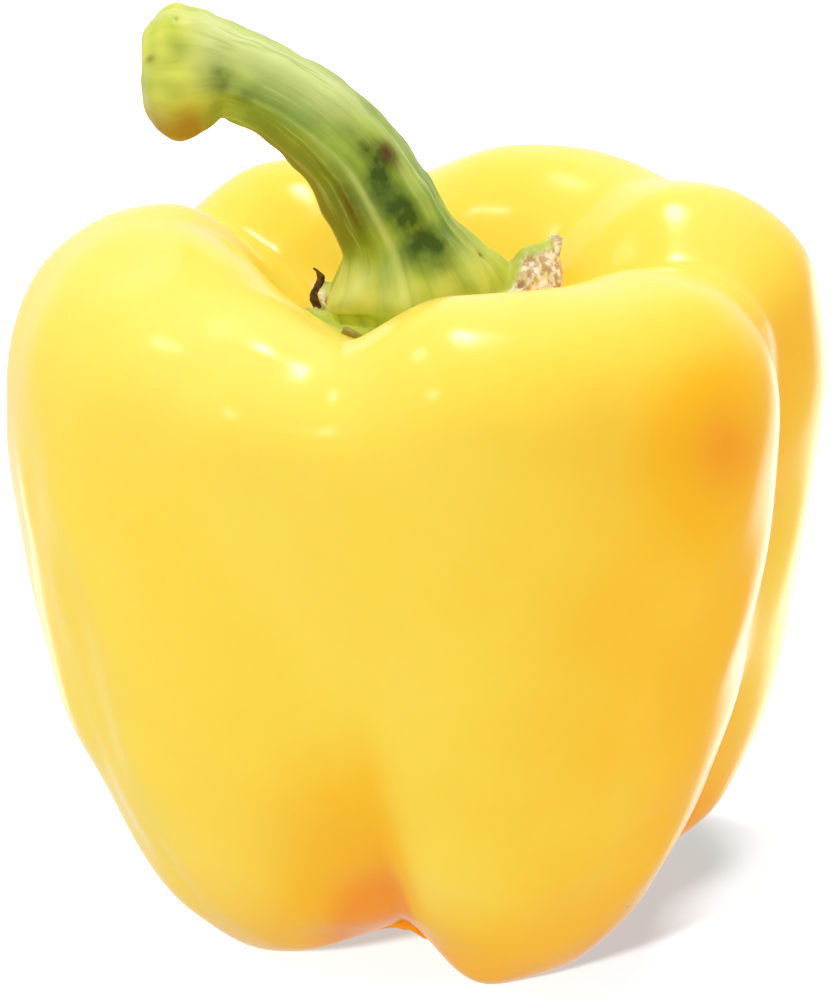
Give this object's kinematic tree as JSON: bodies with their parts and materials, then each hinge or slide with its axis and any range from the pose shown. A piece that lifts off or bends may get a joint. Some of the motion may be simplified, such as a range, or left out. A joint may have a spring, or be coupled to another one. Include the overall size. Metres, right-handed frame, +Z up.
{
  "type": "bell pepper",
  "caption": "Whole yellow bell pepper standing on its blossom end: a blocky lobed fruit with a curved green stem and toothed calyx seated in its hollow top.",
  "frame": {"origin": "on the surface that the pepper stands on, under the middle of its outline", "axes": "+Z up along the growth axis, from the blossom end to the stem; -Y is the side seen in the picture, where the stem leans to -X"},
  "size_m": [0.0899, 0.0874, 0.104],
  "materials": {
    "skin": "gloss",
    "stalk": "satin"
  },
  "bodies": {
    "root": {"fruit": "skin", "stem": "stalk"}
  },
  "joints": []
}
